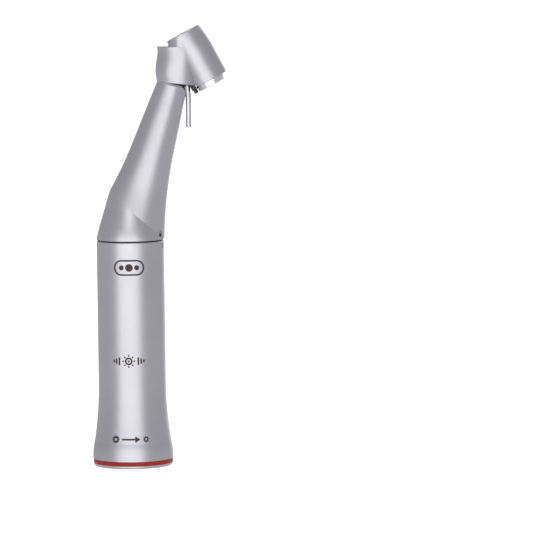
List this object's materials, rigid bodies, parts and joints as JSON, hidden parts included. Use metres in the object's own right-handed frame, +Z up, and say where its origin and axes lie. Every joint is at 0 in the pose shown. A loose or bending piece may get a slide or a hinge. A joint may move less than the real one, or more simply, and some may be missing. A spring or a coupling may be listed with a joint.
{
  "type": "dental surgical contra-angle handpiece",
  "caption": "Speed-increasing dental surgical handpiece with an angled head, push-button chuck, bevel-gear drive, generator-fed lamp, coolant tube and twist-off sleeve.",
  "frame": {"origin": "centre of the rear rim's end face, on the handle axis", "axes": "+Z up the handle from the rear rim towards the head; +X towards the side the head leans to; XZ is the plane of symmetry"},
  "size_m": [0.0341, 0.0198, 0.1088],
  "materials": {
    "satin_steel": "bead-blasted satin",
    "polished_steel": "polished",
    "machined_steel": "turned",
    "hard_steel": "ground",
    "ball_steel": "polished",
    "brass": "turned",
    "red_ring": "gloss",
    "black_rubber": "matte",
    "black_plastic": "satin",
    "cage_plastic": "matte",
    "lens": "clear",
    "led": "phosphor",
    "copper": "enamelled wire",
    "magnet": "nickel plated",
    "lamination": "blued",
    "board": "solder mask",
    "chips": "moulded",
    "lead_jacket": "insulation"
  },
  "bodies": {
    "head_section": {"neck_shell": "satin_steel", "core_tube": "machined_steel", "neck_tip_ring": "polished_steel", "neck_gasket": "black_rubber", "head_shell": "satin_steel", "head_end_ring": "polished_steel", "head_top_insert": "machined_steel", "button_cap": "satin_steel", "motor_socket": "machined_steel", "chassis_tube": "machined_steel", "neck_spigot": "machined_steel", "seam_seal": "black_rubber", "sleeve_o_rings": "black_rubber", "front_bearing_carrier": "brass", "rear_bearing_carrier": "brass", "stator_ring": "lamination", "stator_coils": "copper", "rectifier_board": "board", "board_parts": "chips", "coolant_tube": "machined_steel", "lamp_housing": "black_plastic", "lamp_lens": "lens", "lamp_led": "led", "lamp_leads": "lead_jacket", "button_spring": "ball_steel", "preload_spring": "ball_steel", "drive_bearing_outer_races": "hard_steel", "neck_bearing_outer_races": "hard_steel", "head_bearing_outer_races": "hard_steel"},
    "sleeve": {"outer_sleeve": "satin_steel", "colour_ring": "red_ring", "rear_rim": "machined_steel"},
    "drive_line": {"drive_shaft": "hard_steel", "dog_pin": "hard_steel", "dog_spring": "ball_steel", "generator_magnet": "magnet", "bell_gear": "hard_steel", "drive_bearing_inner_races": "hard_steel"},
    "dog": {"drive_dog": "hard_steel"},
    "drive_balls": {"drive_bearing_balls": "ball_steel", "drive_bearing_cages": "cage_plastic"},
    "neck_line": {"neck_shaft": "hard_steel", "neck_pinion": "hard_steel", "neck_gear": "hard_steel", "neck_bearing_inner_races": "hard_steel"},
    "neck_balls": {"neck_bearing_balls": "ball_steel", "neck_bearing_cages": "cage_plastic"},
    "rotor": {"rotor_spindle": "hard_steel", "chuck_collet": "hard_steel", "head_bearing_inner_races": "hard_steel"},
    "head_balls": {"head_bearing_balls": "ball_steel", "head_bearing_cages": "cage_plastic"},
    "plunger": {"release_plunger": "hard_steel"},
    "button": {"push_button": "satin_steel"}
  },
  "joints": [
    {"name": "sleeve_twist", "type": "hinge", "parent": "head_section", "child": "sleeve", "pos_m": [0, 0, 0], "axis": [0, 0, 1], "range_deg": [0, 28]},
    {"name": "drive_spin", "type": "hinge", "parent": "head_section", "child": "drive_line", "pos_m": [0, 0, 0], "axis": [0, 0, 1], "continuous": true},
    {"name": "dog_slide", "type": "slide", "parent": "drive_line", "child": "dog", "axis": [0, 0, 1], "range_m": [0, 0.0012], "stiffness_N_per_m": 300, "springref_m": -0.001, "deforming": ["dog_spring"]},
    {"name": "drive_ball_orbit", "type": "hinge", "parent": "head_section", "child": "drive_balls", "pos_m": [0, 0, 0], "axis": [0, 0, 1], "continuous": true},
    {"name": "neck_spin", "type": "hinge", "parent": "head_section", "child": "neck_line", "pos_m": [0, 0, 0.06], "axis": [0.299, 0, 0.9542], "continuous": true},
    {"name": "neck_ball_orbit", "type": "hinge", "parent": "head_section", "child": "neck_balls", "pos_m": [0, 0, 0.06], "axis": [0.299, 0, 0.9542], "continuous": true},
    {"name": "rotor_spin", "type": "hinge", "parent": "head_section", "child": "rotor", "pos_m": [0.01439, 0, 0.10593], "axis": [0.4633, 0, -0.8862], "continuous": true},
    {"name": "head_ball_orbit", "type": "hinge", "parent": "head_section", "child": "head_balls", "pos_m": [0.01439, 0, 0.10593], "axis": [0.4633, 0, -0.8862], "continuous": true},
    {"name": "plunger_slide", "type": "slide", "parent": "rotor", "child": "plunger", "axis": [0.4633, 0, -0.8862], "range_m": [0, 0.00068]},
    {"name": "button_press", "type": "slide", "parent": "head_section", "child": "button", "axis": [0.4633, 0, -0.8862], "range_m": [0, 0.0008], "stiffness_N_per_m": 1500, "springref_m": -0.0004, "deforming": ["button_spring"]}
  ],
  "couplings": [
    {"joint": "drive_ball_orbit", "follows": "drive_spin", "ratio": 0.38},
    {"joint": "neck_spin", "follows": "drive_spin", "ratio": 1.6},
    {"joint": "neck_ball_orbit", "follows": "drive_spin", "ratio": 0.60235},
    {"joint": "rotor_spin", "follows": "drive_spin", "ratio": 2.7077},
    {"joint": "head_ball_orbit", "follows": "drive_spin", "ratio": 1.0602},
    {"joint": "plunger_slide", "follows": "button_press", "ratio": 0.85}
  ]
}
